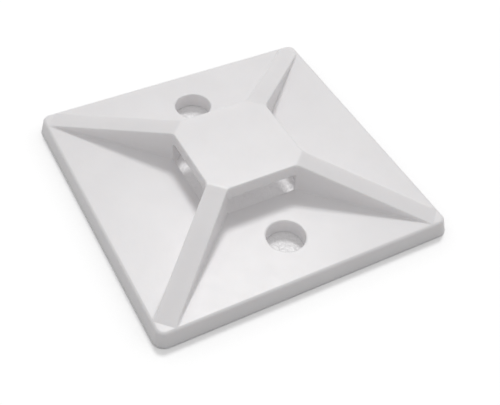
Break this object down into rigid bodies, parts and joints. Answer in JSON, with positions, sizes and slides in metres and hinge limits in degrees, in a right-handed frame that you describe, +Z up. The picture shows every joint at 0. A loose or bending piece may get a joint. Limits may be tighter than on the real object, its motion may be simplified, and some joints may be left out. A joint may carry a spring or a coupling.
{
  "type": "cable tie mount",
  "caption": "Square moulded base with four ribs rising to a small raised deck, open below the deck both ways for a cable tie, with screw holes beside it.",
  "frame": {"origin": "centre of the base's underside", "axes": "+Z up through the deck; X and Y along the sides of the base; the two screw holes lie on the Y axis"},
  "size_m": [0.028, 0.028, 0.0045],
  "materials": {
    "white_nylon": "natural white moulded nylon, satin"
  },
  "bodies": {
    "root": {"mount_body": "white_nylon"}
  },
  "joints": []
}
